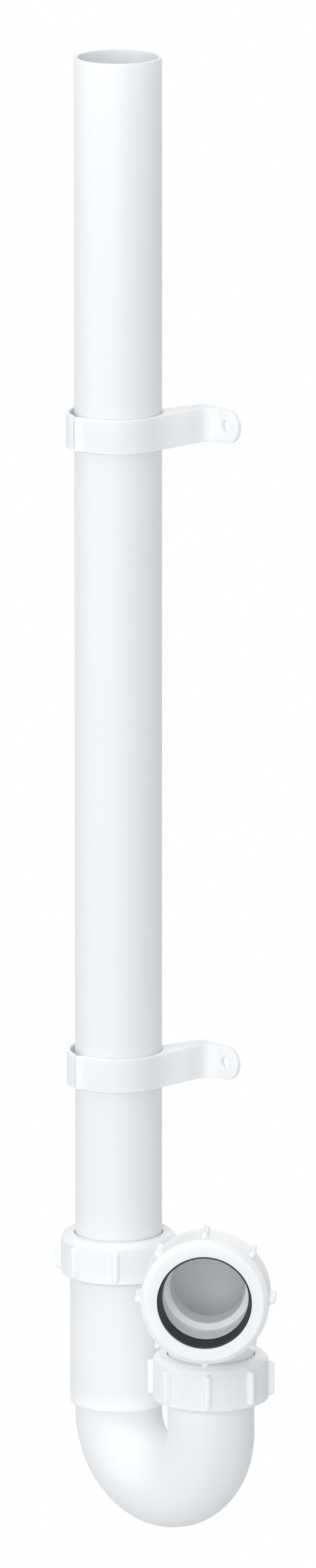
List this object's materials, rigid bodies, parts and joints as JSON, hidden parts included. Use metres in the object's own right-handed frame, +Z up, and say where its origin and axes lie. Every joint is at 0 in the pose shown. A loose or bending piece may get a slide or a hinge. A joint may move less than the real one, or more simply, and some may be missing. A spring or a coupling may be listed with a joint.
{
  "type": "washing machine standpipe trap",
  "caption": "White plastic washing machine standpipe on wall clips, with a U trap, ribbed nuts and a swivelling outlet elbow with a compression socket.",
  "frame": {"origin": "on the wall, halfway between the two clip screws", "axes": "+Z up along the standpipe, +Y into the wall, +X along the wall to the right, seen from the room"},
  "size_m": [0.1621, 0.1115, 0.7346],
  "materials": {
    "white_polypropylene": "gloss",
    "black_rubber": "satin"
  },
  "bodies": {
    "trap": {"standpipe": "white_polypropylene", "pipe_clip_upper": "white_polypropylene", "pipe_clip_lower": "white_polypropylene", "inlet_nut": "white_polypropylene", "inlet_seal": "black_rubber", "trap_socket": "white_polypropylene", "trap_bend": "white_polypropylene", "coupling_nut": "white_polypropylene", "coupling_washer": "black_rubber"},
    "outlet": {"outlet_elbow": "white_polypropylene", "outlet_nut": "white_polypropylene", "outlet_seal": "black_rubber"}
  },
  "joints": [
    {"name": "outlet_swivel", "type": "hinge", "parent": "trap", "child": "outlet", "pos_m": [0.0305, -0.043, -0.2529], "axis": [0, 0, 1], "range_deg": [-60, 48]}
  ]
}
